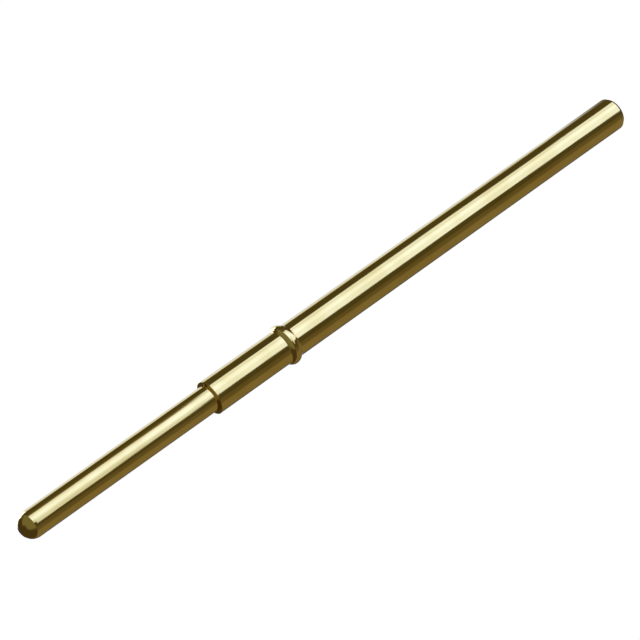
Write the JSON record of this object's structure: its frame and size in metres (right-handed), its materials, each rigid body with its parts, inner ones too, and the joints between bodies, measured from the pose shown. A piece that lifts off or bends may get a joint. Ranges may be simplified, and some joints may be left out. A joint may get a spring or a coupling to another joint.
{
  "type": "pogo pin",
  "caption": "Gold-plated spring contact pin: a round-tipped plunger slides in a straight closed tube with a rolled press ring near its mouth.",
  "frame": {"origin": "on the pin's axis, in the plane where the press ring's tail side meets the tube, which seats on the plate", "axes": "+Z along the pin's axis from the closed tail to the round contact tip; the pin is round, so X and Y are free"},
  "size_m": [0.0016, 0.0016, 0.0305],
  "materials": {
    "gold_plating": "polished gold plating on brass and bronze",
    "spring_steel": "bright drawn spring wire"
  },
  "bodies": {
    "barrel": {"barrel": "gold_plating", "spring": "spring_steel"},
    "plunger": {"plunger": "gold_plating"}
  },
  "joints": [
    {"name": "plunger_slide", "type": "slide", "parent": "barrel", "child": "plunger", "axis": [0, 0, -1], "range_m": [0, 0.00635], "stiffness_N_per_m": 390, "springref_m": -0.00128, "deforming": ["spring"]}
  ]
}
